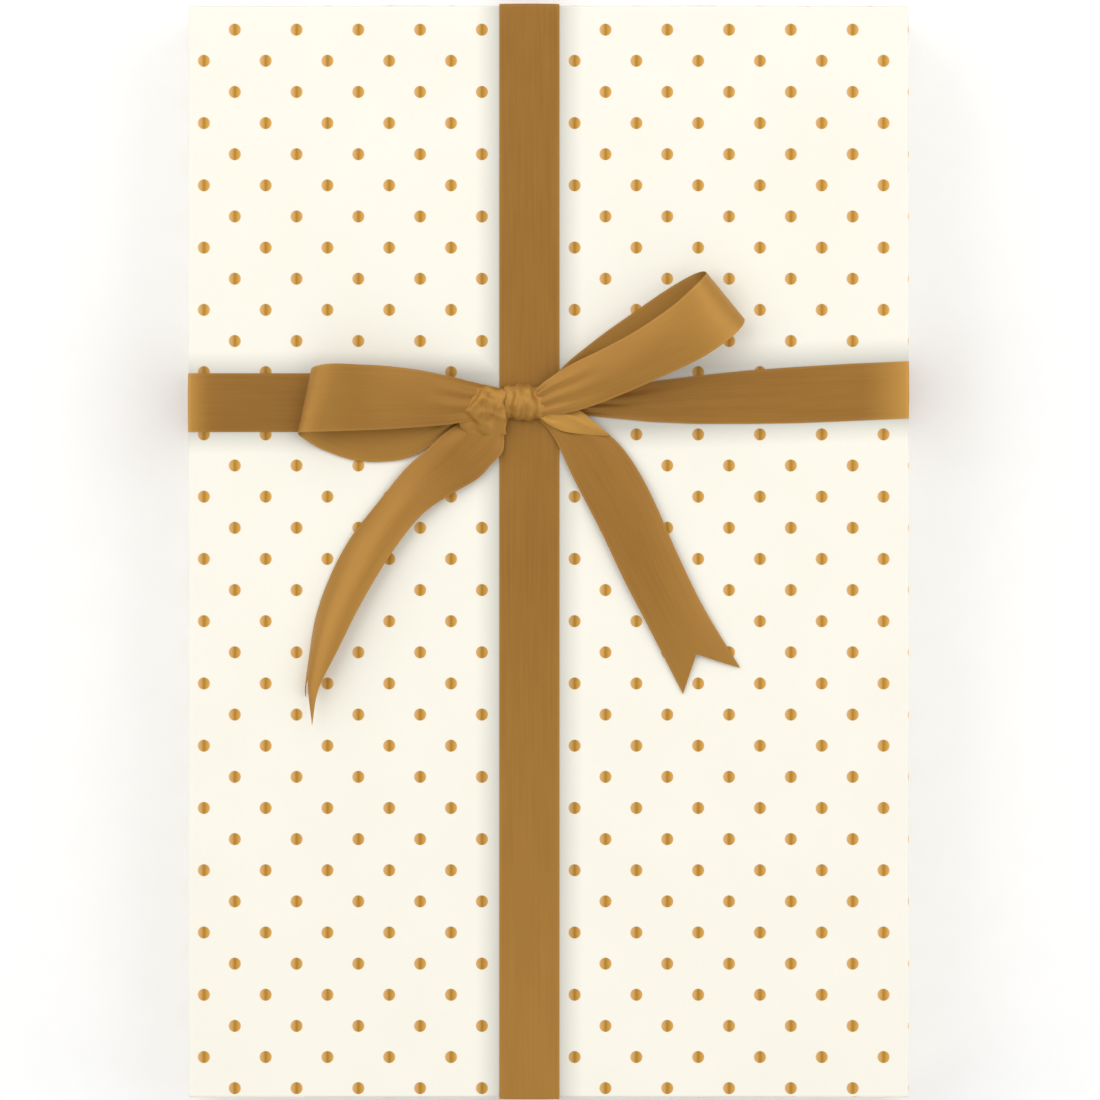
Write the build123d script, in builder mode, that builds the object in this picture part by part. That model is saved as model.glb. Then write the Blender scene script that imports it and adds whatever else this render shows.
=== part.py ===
from build123d import *
from math import cos, radians, sin
import os

# A flat gift box, wrapped in one sheet of paper and tied with a crossed ribbon and a bow.
# Millimetres. It lies on its back: +X right, +Y towards the far end, +Z out of the wrapped
# front. The origin is the centre of the footprint, on the surface that the package lies on.

# ---- Driving dimensions ----

package_width = 300.0       # X, outside the paper
package_length = 456.0      # Y, outside the paper
package_height = 64.0       # Z, outside the paper

paper_thickness = 0.25
card_thickness = 0.8
ribbon_thickness = 0.3
tape_thickness = 0.2

lid_depth = 58.0
lid_clearance = 0.4         # between the lid's walls and the base's, each side
corner_tab_length = 30.0    # glued tab at each end of a tray's long walls

seam_x = 45.0               # edge of the paper's lap, on the underside
seam_overlap = 25.0
end_flap_depth = 48.0       # how far the paper's end flaps reach across the end

tape_width = 19.0
seam_tape_length = 50.0
seam_tape_pitch = 150.0
end_tape_length = 40.0
end_tape_pitch = 120.0

ribbon_width = 25.0
long_ribbon_x = -8.0        # centre line of the ribbon that runs along the package
cross_left_y = 62.0         # centre line of the cross ribbon where it turns over the left edge
cross_right_y = 67.5        # and over the right edge
gather_width = 11.0         # width of the cross ribbon where the knot grips it
left_gather_length = 25.0
right_gather_length = 45.0

knot_x = -10.0
knot_y = 62.0
knot_width = 16.0
knot_length = 15.0
knot_height = 7.5
knot_corner_radius = 1.5
knot_top_radius = 2.5

bow_clearance = 0.4         # from a loop or tail to the knot, and to what it lies over
loop_root_radius = 1.6
loop_root_width = 12.0
loop_flare_length = 30.0
left_loop_length = 84.0
left_loop_offset = 0.5      # of its root along the knot's flank, from the knot's centre
left_loop_tip_radius = 8.0
right_loop_length = 84.0
right_loop_offset = 2.0
right_loop_slant = 30.5     # degrees, towards the far end
right_loop_tip_radius = 9.0

tail_root_width = 5.5
tail_root_height = 2.4      # above the surface that the bow lies on
tail_rise = 7.0             # how far a tail arches between the knot and its tip

# Points on each tail's outline in plan, from the middle of its root. The bends lie on the
# two long edges, the points are the corners of the V-cut end, and the notch is between them.
left_tail_inner_bend = (-47.0, -50.0)
left_tail_outer_bend = (-58.0, -36.0)
left_tail_inner_point = (-84.0, -126.0)
left_tail_outer_point = (-88.0, -116.0)
left_tail_notch = (-84.0, -113.5)
right_tail_inner_bend = (20.5, -34.0)
right_tail_outer_bend = (40.0, -27.0)
right_tail_inner_point = (61.5, -113.5)
right_tail_outer_point = (84.5, -102.0)
right_tail_notch = (62.0, -92.0)

# ---- Places that follow from them ----

underside = 2 * ribbon_thickness
front = underside + package_height
bow_floor = front + 2 * ribbon_thickness
half_width = package_width / 2
half_length = package_length / 2
end_face = half_length - 3 * paper_thickness      # inside of the folded paper at each end
box_floor = underside + 2 * paper_thickness
lid_top = front - paper_thickness
knot_left = knot_x - knot_width / 2
knot_right = knot_x + knot_width / 2
knot_near = knot_y - knot_length / 2

os.makedirs("parts", exist_ok=True)


def save(piece, name):
    piece.part.label = name
    export_step(piece.part, f"parts/{name}.step")


# ---- The card box inside ----

def card_tray(width, length, low, high, floor_at_top):
    """A tray of folded card: four walls, one panel, and tabs glued inside its end walls."""
    inner_width = width - 2 * card_thickness
    inner_length = length - 2 * card_thickness
    with BuildPart() as tray:
        with BuildSketch(Plane.XY.offset(low)):
            Rectangle(width, length)
            Rectangle(inner_width, inner_length, mode=Mode.SUBTRACT)
            with GridLocations(inner_width - corner_tab_length, inner_length - card_thickness, 2, 2):
                Rectangle(corner_tab_length, card_thickness)
        extrude(amount=high - low)
        panel_level = high - card_thickness if floor_at_top else low
        with BuildSketch(Plane.XY.offset(panel_level)):
            Rectangle(width, length)
        extrude(amount=card_thickness)
    return tray


lid_width = package_width - 2 * paper_thickness
lid_length = 2 * end_face
base_width = lid_width - 2 * (card_thickness + lid_clearance)
base_length = lid_length - 2 * (2 * card_thickness + lid_clearance)

box_lid = card_tray(lid_width, lid_length, lid_top - lid_depth, lid_top, floor_at_top=True)
save(box_lid, "box_lid")

box_base = card_tray(base_width, base_length, box_floor, lid_top - card_thickness, floor_at_top=False)
save(box_base, "box_base")


# ---- The wrapping paper: the stretch around the box, and its folded ends ----

with BuildPart() as paper_sleeve:
    with BuildSketch(Plane.XZ):
        with Locations((0, underside + package_height / 2)):
            Rectangle(package_width, package_height)
            offset(amount=-paper_thickness, kind=Kind.INTERSECTION, mode=Mode.SUBTRACT)
        # The lap under the box: the sheet's first edge, covered by its last.
        with Locations((seam_x - seam_overlap / 2, underside + 1.5 * paper_thickness)):
            Rectangle(seam_overlap, paper_thickness)
    extrude(amount=end_face, both=True)
save(paper_sleeve, "paper_sleeve")


def end_layer(count):
    """The plane on the far end where the paper's layer of this number starts."""
    return Plane.XZ.offset(-end_face - count * paper_thickness)


def flap_outline(fold_z, free_z):
    """An end flap: full width at its fold, narrowed at 45 degrees to its free edge."""
    free_half = half_width - end_flap_depth
    with BuildLine() as outline:
        Polyline(
            (-half_width, fold_z),
            (half_width, fold_z),
            (free_half, free_z),
            (-free_half, free_z),
            close=True,
        )
    return outline.edges()


with BuildPart() as paper_far_end_fold:
    # The sides are tucked in first, flat against the box.
    with BuildSketch(end_layer(0)):
        with Locations((0, underside + package_height / 2)):
            with GridLocations(package_width - end_flap_depth, 0, 2, 1):
                Rectangle(end_flap_depth, package_height)
    extrude(amount=-paper_thickness)
    # The front's flap comes down over them, and the underside's flap up over that.
    with BuildSketch(end_layer(1)):
        make_face(flap_outline(front, front - end_flap_depth))
    extrude(amount=-paper_thickness)
    with BuildSketch(end_layer(2)):
        make_face(flap_outline(underside, underside + end_flap_depth))
    extrude(amount=-paper_thickness)
    # The folds that join these two flaps to the sleeve.
    with BuildSketch(end_layer(0)):
        with Locations((0, front - paper_thickness / 2)):
            Rectangle(package_width, paper_thickness)
    extrude(amount=-2 * paper_thickness)
    with BuildSketch(end_layer(0)):
        with Locations((0, underside + paper_thickness / 2)):
            Rectangle(package_width, paper_thickness)
    extrude(amount=-3 * paper_thickness)
save(paper_far_end_fold, "paper_far_end_fold")

with BuildPart() as paper_near_end_fold:
    mirror(paper_far_end_fold.part, about=Plane.XZ)
save(paper_near_end_fold, "paper_near_end_fold")


# ---- Adhesive tape ----

with BuildPart() as seam_tapes:
    with BuildSketch(Plane.XY.offset(underside - tape_thickness)):
        with Locations((seam_x, 0)):
            with GridLocations(0, seam_tape_pitch, 1, 3):
                Rectangle(seam_tape_length, tape_width)
    extrude(amount=tape_thickness)
save(seam_tapes, "seam_tapes")

with BuildPart() as far_end_tapes:
    with BuildSketch(Plane.XZ.offset(-half_length)):
        with Locations((0, underside + end_flap_depth - end_tape_length / 4)):
            with GridLocations(end_tape_pitch, 0, 2, 1):
                Rectangle(tape_width, end_tape_length)
    extrude(amount=-tape_thickness)
save(far_end_tapes, "far_end_tapes")

with BuildPart() as near_end_tapes:
    mirror(far_end_tapes.part, about=Plane.XZ)
save(near_end_tapes, "near_end_tapes")


# ---- The ribbon along the package: four flat runs ----

for name, level in (("long_ribbon_top", front), ("long_ribbon_bottom", 0)):
    with BuildPart() as long_run:
        with BuildSketch(Plane.XY.offset(level)):
            with Locations((long_ribbon_x, 0)):
                Rectangle(ribbon_width, package_length + 2 * ribbon_thickness)
        extrude(amount=ribbon_thickness)
    save(long_run, name)

end_run_height = front - ribbon_thickness
for name, face_y in (("long_ribbon_far_end", half_length), ("long_ribbon_near_end", -half_length - ribbon_thickness)):
    with BuildPart() as end_run:
        with BuildSketch(Plane.XZ.offset(-face_y)):
            with Locations((long_ribbon_x, ribbon_thickness + end_run_height / 2)):
                Rectangle(ribbon_width, end_run_height)
        extrude(amount=-ribbon_thickness)
    save(end_run, name)


# ---- The ribbon across the package: five runs, gathered where the knot grips it ----

cross_half_span = half_width + ribbon_thickness
cross_top_level = front + ribbon_thickness
half_ribbon = ribbon_width / 2


def cross_top_run(grip_x, gather_length, edge_x, edge_y):
    """A run on the front, from the knot's flank to the package's edge."""
    flare_x = grip_x + gather_length * (1 if edge_x > grip_x else -1)
    flare_y = knot_y + (edge_y - knot_y) * (flare_x - grip_x) / (edge_x - grip_x)
    with BuildPart() as run:
        with BuildSketch(Plane.XY.offset(cross_top_level)):
            with BuildLine():
                Polyline(
                    (grip_x, knot_y - gather_width / 2),
                    (flare_x, flare_y - half_ribbon),
                    (edge_x, edge_y - half_ribbon),
                    (edge_x, edge_y + half_ribbon),
                    (flare_x, flare_y + half_ribbon),
                    (grip_x, knot_y + gather_width / 2),
                    close=True,
                )
            make_face()
        extrude(amount=ribbon_thickness)
    return run


save(cross_top_run(knot_left, left_gather_length, -cross_half_span, cross_left_y), "cross_ribbon_left_top")
save(cross_top_run(knot_right, right_gather_length, cross_half_span, cross_right_y), "cross_ribbon_right_top")

for name, face_x, run_y in (
    ("cross_ribbon_left_side", -cross_half_span, cross_left_y),
    ("cross_ribbon_right_side", half_width, cross_right_y),
):
    with BuildPart() as side_run:
        with BuildSketch(Plane.YZ.offset(face_x)):
            with Locations((run_y, (underside + cross_top_level) / 2)):
                Rectangle(ribbon_width, cross_top_level - underside)
        extrude(amount=ribbon_thickness)
    save(side_run, name)

with BuildPart() as cross_ribbon_bottom:
    with BuildSketch(Plane.XY.offset(ribbon_thickness)):
        with BuildLine():
            Polyline(
                (-cross_half_span, cross_left_y - half_ribbon),
                (cross_half_span, cross_right_y - half_ribbon),
                (cross_half_span, cross_right_y + half_ribbon),
                (-cross_half_span, cross_left_y + half_ribbon),
                close=True,
            )
        make_face()
    extrude(amount=ribbon_thickness)
save(cross_ribbon_bottom, "cross_ribbon_bottom")


# ---- The bow ----

with BuildPart() as bow_knot:
    with BuildSketch(Plane.XY.offset(front + ribbon_thickness)):
        with Locations((knot_x, knot_y)):
            Rectangle(knot_width, knot_length)
    extrude(amount=knot_height)
    fillet(bow_knot.edges().filter_by(Axis.Z), radius=knot_corner_radius)
    fillet(bow_knot.faces().sort_by(Axis.Z)[-1].edges(), radius=knot_top_radius)
save(bow_knot, "bow_knot")


def bow_loop(root_x, root_y, angle, length, tip_radius):
    """A loop of ribbon: narrow at the knot, round at its tip, its lower side lying flat."""
    along = Vector(cos(radians(angle)), sin(radians(angle)), 0)
    root = Vector(root_x, root_y, bow_floor + bow_clearance + loop_root_radius)
    tip_x = length - tip_radius - loop_root_radius
    with BuildPart() as loop:
        with BuildSketch(Plane(root, x_dir=along, z_dir=along.cross(Vector(0, 0, 1)))):
            Circle(loop_root_radius)
            with Locations((tip_x, tip_radius - loop_root_radius)):
                Circle(tip_radius)
            make_hull()
            offset(amount=-ribbon_thickness, mode=Mode.SUBTRACT)
        extrude(amount=half_ribbon, both=True)
        # Gathered at the root to the width that the knot grips.
        with BuildSketch(Plane((root_x, root_y, 0), x_dir=along)):
            with BuildLine():
                Polyline(
                    (-loop_root_radius, -loop_root_width / 2),
                    (loop_flare_length, -half_ribbon),
                    (length, -half_ribbon),
                    (length, half_ribbon),
                    (loop_flare_length, half_ribbon),
                    (-loop_root_radius, loop_root_width / 2),
                    close=True,
                )
            make_face()
        extrude(amount=2 * front, mode=Mode.INTERSECT)
    return loop


bow_left_loop = bow_loop(
    root_x=knot_left - bow_clearance - loop_root_radius,
    root_y=knot_y + left_loop_offset,
    angle=180,
    length=left_loop_length,
    tip_radius=left_loop_tip_radius,
)
save(bow_left_loop, "bow_left_loop")

# The right loop leaves at a slant, so the far corner of its root comes nearest to the knot.
slant = radians(right_loop_slant)
right_loop_corner_reach = loop_root_radius * cos(slant) + loop_root_width / 2 * sin(slant)
bow_right_loop = bow_loop(
    root_x=knot_right + bow_clearance + right_loop_corner_reach,
    root_y=knot_y + right_loop_offset,
    angle=right_loop_slant,
    length=right_loop_length,
    tip_radius=right_loop_tip_radius,
)
save(bow_right_loop, "bow_right_loop")

half_root = tail_root_width / 2


def bow_tail(root_x, inner_bend, outer_bend, inner_point, outer_point, notch):
    """A tail: an arched strip leaving the near face of the knot, cut to its outline in plan."""
    side = 1 if inner_point[0] > 0 else -1
    root_y = knot_near - bow_clearance
    tip_y = root_y + inner_point[1]
    root_z = bow_floor + tail_root_height
    tip_z = front + bow_clearance + ribbon_thickness / 2
    with BuildPart() as tail:
        with BuildSketch(Plane.YZ.offset(root_x)):
            with BuildLine():
                ThreePointArc(
                    (root_y, root_z),
                    ((root_y + tip_y) / 2, (root_z + tip_z) / 2 + tail_rise),
                    (tip_y, tip_z),
                )
            trace(line_width=ribbon_thickness)
        extrude(amount=half_width, both=True)
        with BuildSketch(Plane((root_x, root_y, 0))):
            with BuildLine():
                ThreePointArc((-side * half_root, 0), inner_bend, inner_point)
                Polyline(inner_point, notch, outer_point)
                ThreePointArc(outer_point, outer_bend, (side * half_root, 0))
                Line((side * half_root, 0), (-side * half_root, 0))
            make_face()
        extrude(amount=2 * front, mode=Mode.INTERSECT)
    return tail


bow_left_tail = bow_tail(
    knot_left + knot_corner_radius + half_root,
    left_tail_inner_bend,
    left_tail_outer_bend,
    left_tail_inner_point,
    left_tail_outer_point,
    left_tail_notch,
)
save(bow_left_tail, "bow_left_tail")

bow_right_tail = bow_tail(
    knot_right - knot_corner_radius - half_root,
    right_tail_inner_bend,
    right_tail_outer_bend,
    right_tail_inner_point,
    right_tail_outer_point,
    right_tail_notch,
)
save(bow_right_tail, "bow_right_tail")
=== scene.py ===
# %% [markdown]
# # A wrapped present: paper, crossed ribbon and bow
#
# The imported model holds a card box, the folded paper around it, a ribbon that crosses it both
# ways, and a bow whose loops and tails lift. Paper and ribbon are thin sheets, so this
# script makes those pieces again as real sheets: each is cut flat at its true size, carried to
# where it lies, and given the finish of gold-dotted paper or satin.

# %% Load the frame
import math

import bmesh
import bpy
import numpy as np
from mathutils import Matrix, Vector, noise


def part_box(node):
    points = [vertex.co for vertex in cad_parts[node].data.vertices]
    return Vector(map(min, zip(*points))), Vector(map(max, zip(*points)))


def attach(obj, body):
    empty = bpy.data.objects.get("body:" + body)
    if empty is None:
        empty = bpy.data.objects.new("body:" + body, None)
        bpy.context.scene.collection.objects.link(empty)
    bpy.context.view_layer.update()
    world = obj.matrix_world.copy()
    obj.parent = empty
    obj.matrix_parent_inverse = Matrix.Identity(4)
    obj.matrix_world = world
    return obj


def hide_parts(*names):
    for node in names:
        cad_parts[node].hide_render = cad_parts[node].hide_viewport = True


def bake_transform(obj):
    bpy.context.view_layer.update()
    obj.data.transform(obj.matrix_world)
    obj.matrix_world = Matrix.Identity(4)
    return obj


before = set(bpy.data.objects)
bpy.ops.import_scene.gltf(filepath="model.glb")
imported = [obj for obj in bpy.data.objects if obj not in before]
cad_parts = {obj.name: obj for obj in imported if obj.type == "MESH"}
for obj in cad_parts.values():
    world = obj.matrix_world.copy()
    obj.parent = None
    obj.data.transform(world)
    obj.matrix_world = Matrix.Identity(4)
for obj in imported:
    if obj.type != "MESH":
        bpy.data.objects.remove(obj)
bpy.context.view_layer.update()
MM = 0.001

# %% [markdown]
# ## Where things are
#
# Every place comes from the frame. The front is the paper's upper face, the underside its lower
# one, and the ribbon's centre lines and the knot are read off their own nodes.

# %% Places read from the frame
paper_low, paper_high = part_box("paper_sleeve")
fold_low, fold_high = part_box("paper_far_end_fold")
FRONT = paper_high.z
UNDERSIDE = paper_low.z
HALF_WIDTH = paper_high.x
HALF_LENGTH = fold_high.y
knot_low, knot_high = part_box("bow_knot")
KNOT = (knot_low + knot_high) / 2
long_low, long_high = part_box("long_ribbon_top")
LONG_X = (long_low.x + long_high.x) / 2
left_low, left_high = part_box("cross_ribbon_left_side")
CROSS_LEFT_Y = (left_low.y + left_high.y) / 2
right_low, right_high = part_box("cross_ribbon_right_side")
CROSS_RIGHT_Y = (right_low.y + right_high.y) / 2
RIBBON_WIDTH = long_high.x - long_low.x
RIBBON_THICKNESS = 0.2 * MM
PAPER_THICKNESS = 0.12 * MM
print("ribbon width, mm:", round(RIBBON_WIDTH / MM, 2), "front at", round(FRONT / MM, 2))

# %% [markdown]
# ## Helpers
#
# Operators act on whatever is selected, so each step starts by leaving only its own piece
# selected. Many points are moved at once, as one array, because a sheet has thousands.


# %% Small helpers for selecting and shaping
def only(piece):
    """Leave nothing selected but this piece, and make it the active one."""
    bpy.ops.object.select_all(action="DESELECT")
    piece.select_set(True)
    bpy.context.view_layer.objects.active = piece


def begin(name):
    """Name the primitive that was just added."""
    piece = bpy.context.object
    piece.name = name
    piece.data.name = name
    only(piece)
    return piece


def apply_modifier(piece, kind, **settings):
    """Add a modifier, set it and apply it, so that its result is in the mesh."""
    only(piece)
    modifier = piece.modifiers.new(kind.title(), kind)
    for key, value in settings.items():
        setattr(modifier, key, value)
    bpy.ops.object.modifier_apply(modifier=modifier.name)


def vertex_array(piece):
    """The piece's vertices as rows of x, y, z."""
    places = np.zeros(len(piece.data.vertices) * 3)
    piece.data.vertices.foreach_get("co", places)
    return places.reshape(-1, 3)


def put_vertices(piece, places):
    piece.data.vertices.foreach_set("co", np.asarray(places, float).ravel())
    piece.data.update()


# %% [markdown]
# ## Materials
#
# There are four finishes: cream paper printed with gold foil dots, satin ribbon, clear tape and
# plain box card. Patterns that follow a sheet read its own UV map, which is laid out in metres
# on the flat sheet, so a dot or a thread keeps its size and runs on across a fold.

# %% Node helpers
def new_material(name):
    """A material with its Principled shader, ready for its own nodes."""
    material = bpy.data.materials.new(name)
    material.use_nodes = True
    tree = material.node_tree
    shader = tree.nodes["Principled BSDF"]
    return material, tree, shader


def math_node(tree, operation, first, second=None, clamp=False):
    """A Math node fed by sockets or numbers. Gives its output socket."""
    node = tree.nodes.new("ShaderNodeMath")
    node.operation = operation
    node.use_clamp = clamp
    for slot, value in enumerate((first, second)):
        if value is None:
            continue
        if hasattr(value, "links"):
            tree.links.new(value, node.inputs[slot])
        else:
            node.inputs[slot].default_value = value
    return node.outputs[0]


def ramp_node(tree, factor, stops):
    """A ColorRamp with (position, colour) stops. Gives its colour socket."""
    node = tree.nodes.new("ShaderNodeValToRGB")
    ramp = node.color_ramp
    while len(ramp.elements) < len(stops):
        ramp.elements.new(0.5)
    for element, (position, colour) in zip(ramp.elements, stops):
        element.position = position
        element.color = (*colour, 1)
    tree.links.new(factor, node.inputs["Fac"])
    return node.outputs["Color"]


def mix_colours(tree, factor, first, second, blend="MIX"):
    """Mix two colours, each a socket or three numbers."""
    node = tree.nodes.new("ShaderNodeMix")
    node.data_type = "RGBA"
    node.blend_type = blend
    for socket, value in ((node.inputs[0], factor), (node.inputs[6], first), (node.inputs[7], second)):
        if hasattr(value, "links"):
            tree.links.new(value, socket)
        elif isinstance(value, tuple):
            socket.default_value = (*value, 1)
        else:
            socket.default_value = value
    return node.outputs[2]


def noise_node(tree, vector, scale, detail=3.0, roughness=0.5):
    """A Noise texture's grey value over these coordinates."""
    node = tree.nodes.new("ShaderNodeTexNoise")
    node.inputs["Scale"].default_value = scale
    node.inputs["Detail"].default_value = detail
    node.inputs["Roughness"].default_value = roughness
    tree.links.new(vector, node.inputs["Vector"])
    return node.outputs["Fac"]


def stretched(tree, vector, scale):
    """The same coordinates stretched or squeezed along each axis."""
    node = tree.nodes.new("ShaderNodeMapping")
    node.inputs["Scale"].default_value = scale
    tree.links.new(vector, node.inputs["Vector"])
    return node.outputs[0]


def bump_node(tree, height, strength, distance, normal=None):
    """Turn a height into a change of the surface's normal."""
    node = tree.nodes.new("ShaderNodeBump")
    node.inputs["Strength"].default_value = strength
    node.inputs["Distance"].default_value = distance
    tree.links.new(height, node.inputs["Height"])
    if normal is not None:
        tree.links.new(normal, node.inputs["Normal"])
    return node.outputs[0]


# %% [markdown]
# ### Cream paper with foil dots
#
# The dots stand in a diamond lattice: two square grids, one moved by half a pitch each way. For
# each grid the sheet's coordinates are wrapped into one cell, and the distance to the cell's
# middle says whether the point is in a dot. Foil is a metal, pressed a little into the paper. Its
# gold carries a painted reflection: pale at a dot's left edge, a deep gold band in the middle and
# warm at the right edge.

# %% The paper
DOT_RADIUS = 2.5 * MM
DOT_STEP = (12.87 * MM, 12.97 * MM)      # half the pitch across and along the sheet
DOT_ORIGIN = (-143.6 * MM, 204.4 * MM)   # one dot's centre on the front
SHADE_REACH = 10 * MM                    # how far the painted shade beside a ribbon goes
SHADE_SHARE = 0.36                       # and how strong it is at the ribbon's edge


def dot_grid(tree, across, along, origin_x, origin_y):
    """One square grid of dots: whether a point is in a dot, and its place across the dot."""
    cells = []
    for value, origin, step in ((across, origin_x, DOT_STEP[0]), (along, origin_y, DOT_STEP[1])):
        moved = math_node(tree, "SUBTRACT", value, origin - step)
        wrapped = math_node(tree, "WRAP", moved, 2 * step)
        wrapped.node.inputs[2].default_value = 0.0      # a Wrap needs both of its ends
        cells.append(math_node(tree, "SUBTRACT", wrapped, step))
    squared = math_node(tree, "ADD", math_node(tree, "POWER", cells[0], 2), math_node(tree, "POWER", cells[1], 2))
    distance = math_node(tree, "SQRT", squared)
    edge = math_node(tree, "DIVIDE", math_node(tree, "SUBTRACT", DOT_RADIUS, distance), 0.25 * MM)
    inside = math_node(tree, "ADD", edge, 0.5, clamp=True)
    return inside, cells[0]


paper_finish, paper_tree, paper_shader = new_material("dotted_paper")
paper_uv = paper_tree.nodes.new("ShaderNodeUVMap")
paper_uv.uv_map = "Sheet"
paper_axes = paper_tree.nodes.new("ShaderNodeSeparateXYZ")
paper_tree.links.new(paper_uv.outputs[0], paper_axes.inputs[0])
first_grid, first_place = dot_grid(paper_tree, paper_axes.outputs[0], paper_axes.outputs[1], *DOT_ORIGIN)
second_grid, second_place = dot_grid(
    paper_tree,
    paper_axes.outputs[0],
    paper_axes.outputs[1],
    DOT_ORIGIN[0] + DOT_STEP[0],
    DOT_ORIGIN[1] + DOT_STEP[1],
)
dots = math_node(paper_tree, "MAXIMUM", first_grid, second_grid)
place_in_dot = math_node(
    paper_tree,
    "ADD",
    math_node(paper_tree, "MULTIPLY", first_grid, first_place),
    math_node(paper_tree, "MULTIPLY", second_grid, second_place),
)
foil_position = math_node(paper_tree, "ADD", math_node(paper_tree, "DIVIDE", place_in_dot, 2 * DOT_RADIUS), 0.5)
# The foil's gold plus a painted reflection: lighter at each dot's left and right edges, a deep band in its middle.
foil_gold_and_painted_reflection = ramp_node(
    paper_tree,
    foil_position,
    (
        (0.0, (0.90, 0.52, 0.20)),
        (0.30, (0.76, 0.42, 0.12)),
        (0.50, (0.50, 0.245, 0.026)),
        (0.66, (0.66, 0.34, 0.050)),
        (1.0, (0.90, 0.48, 0.13)),
    ),
)
fibres = noise_node(paper_tree, paper_uv.outputs[0], 900.0, 4.0, 0.6)
clouds = noise_node(paper_tree, paper_uv.outputs[0], 22.0, 3.0)
cream = ramp_node(paper_tree, clouds, ((0.35, (0.930, 0.902, 0.795)), (0.65, (0.945, 0.917, 0.812))))
fibre_tint = ramp_node(paper_tree, fibres, ((0.3, (0.985, 0.985, 0.98)), (0.7, (1.0, 1.0, 1.0))))
stock = mix_colours(paper_tree, 1.0, cream, fibre_tint, "MULTIPLY")
crease = paper_tree.nodes.new("ShaderNodeAttribute")
crease.attribute_name = "Crease"
worn = mix_colours(
    paper_tree, math_node(paper_tree, "MULTIPLY", crease.outputs["Fac"], 0.5), stock, (0.95, 0.93, 0.85)
)
printed = mix_colours(paper_tree, dots, worn, foil_gold_and_painted_reflection)
paper_place = paper_tree.nodes.new("ShaderNodeTexCoord")
paper_xyz = paper_tree.nodes.new("ShaderNodeSeparateXYZ")
paper_tree.links.new(paper_place.outputs["Object"], paper_xyz.inputs[0])


def beside_band(tree, value, centre, half_width):
    """How near a point is to a band of ribbon, for the painted shade: one at the band's edge, none at the shade's
    reach.
    """
    from_centre = math_node(tree, "ABSOLUTE", math_node(tree, "SUBTRACT", value, centre))
    away = math_node(tree, "SUBTRACT", from_centre, half_width)
    near = math_node(tree, "SUBTRACT", 1.0, math_node(tree, "DIVIDE", away, SHADE_REACH), clamp=True)
    return math_node(tree, "POWER", near, 1.3)


# A painted shade: the paper's colour is darkened beside the long and cross ribbons, most strongly at a ribbon's edge.
right_of_long = math_node(paper_tree, "SUBTRACT", paper_xyz.outputs[0], LONG_X)
right_share = math_node(paper_tree, "DIVIDE", right_of_long, 0.15, clamp=True)
cross_centre = math_node(
    paper_tree, "ADD", math_node(paper_tree, "MULTIPLY", right_share, CROSS_RIGHT_Y - CROSS_LEFT_Y), CROSS_LEFT_Y
)
by_long = beside_band(paper_tree, paper_xyz.outputs[0], LONG_X, RIBBON_WIDTH / 2)
by_cross = beside_band(paper_tree, paper_xyz.outputs[1], cross_centre, RIBBON_WIDTH / 2 - 0.6 * MM)
shade = math_node(paper_tree, "MULTIPLY", math_node(paper_tree, "MAXIMUM", by_long, by_cross), SHADE_SHARE)
paper_with_painted_shade = mix_colours(paper_tree, shade, printed, (0.06, 0.05, 0.07), "MULTIPLY")
paper_tree.links.new(paper_with_painted_shade, paper_shader.inputs["Base Color"])
paper_tree.links.new(math_node(paper_tree, "MULTIPLY", dots, 0.5), paper_shader.inputs["Metallic"])
dot_smooth = math_node(paper_tree, "MULTIPLY", dots, -0.22)
paper_gloss = math_node(paper_tree, "ADD", dot_smooth, math_node(paper_tree, "MULTIPLY", fibres, 0.12))
paper_tree.links.new(math_node(paper_tree, "ADD", paper_gloss, 0.50), paper_shader.inputs["Roughness"])
paper_shader.inputs["Specular IOR Level"].default_value = 0.35
fibre_bump = bump_node(paper_tree, fibres, 0.12, 0.05 * MM)
pressed = math_node(paper_tree, "MULTIPLY", dots, -1.0)
paper_tree.links.new(bump_node(paper_tree, pressed, 0.35, 0.05 * MM, fibre_bump), paper_shader.inputs["Normal"])
print("dotted paper:", len(paper_tree.nodes), "nodes")

# %% [markdown]
# ### Satin
#
# Satin floats its long threads over the face, so it shines in bands across them and looks
# streaked along them. Its edges are woven tighter, as a narrow selvedge. A value stored on
# each strip paints its satin lighter or deeper along its length: a painted highlight and a
# painted shade.

# %% The satin
SATIN_COLOUR = (0.350, 0.165, 0.030)
SATIN_DEEP = (0.305, 0.138, 0.024)
# Colours for the painted highlight and the painted shade on the satin.
SATIN_PAINTED_HIGHLIGHT = (0.640, 0.340, 0.070)
SATIN_PAINTED_SHADE = (0.200, 0.088, 0.014)
THREAD_PITCH = 0.32 * MM

satin_finish, satin_tree, satin_shader = new_material("satin_ribbon")
satin_uv = satin_tree.nodes.new("ShaderNodeUVMap")
satin_uv.uv_map = "Sheet"
satin_axes = satin_tree.nodes.new("ShaderNodeSeparateXYZ")
satin_tree.links.new(satin_uv.outputs[0], satin_axes.inputs[0])
streaks = noise_node(satin_tree, stretched(satin_tree, satin_uv.outputs[0], (1.0, 0.02, 1.0)), 900.0, 3.0, 0.6)
mottle = noise_node(satin_tree, stretched(satin_tree, satin_uv.outputs[0], (1.0, 0.35, 1.0)), 90.0, 3.0)
satin_mix = math_node(
    satin_tree, "ADD", math_node(satin_tree, "MULTIPLY", streaks, 0.6), math_node(satin_tree, "MULTIPLY", mottle, 0.4)
)
satin_colour = ramp_node(satin_tree, satin_mix, ((0.35, SATIN_DEEP), (0.65, SATIN_COLOUR)))
from_middle = math_node(satin_tree, "ABSOLUTE", satin_axes.outputs[0])
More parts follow.
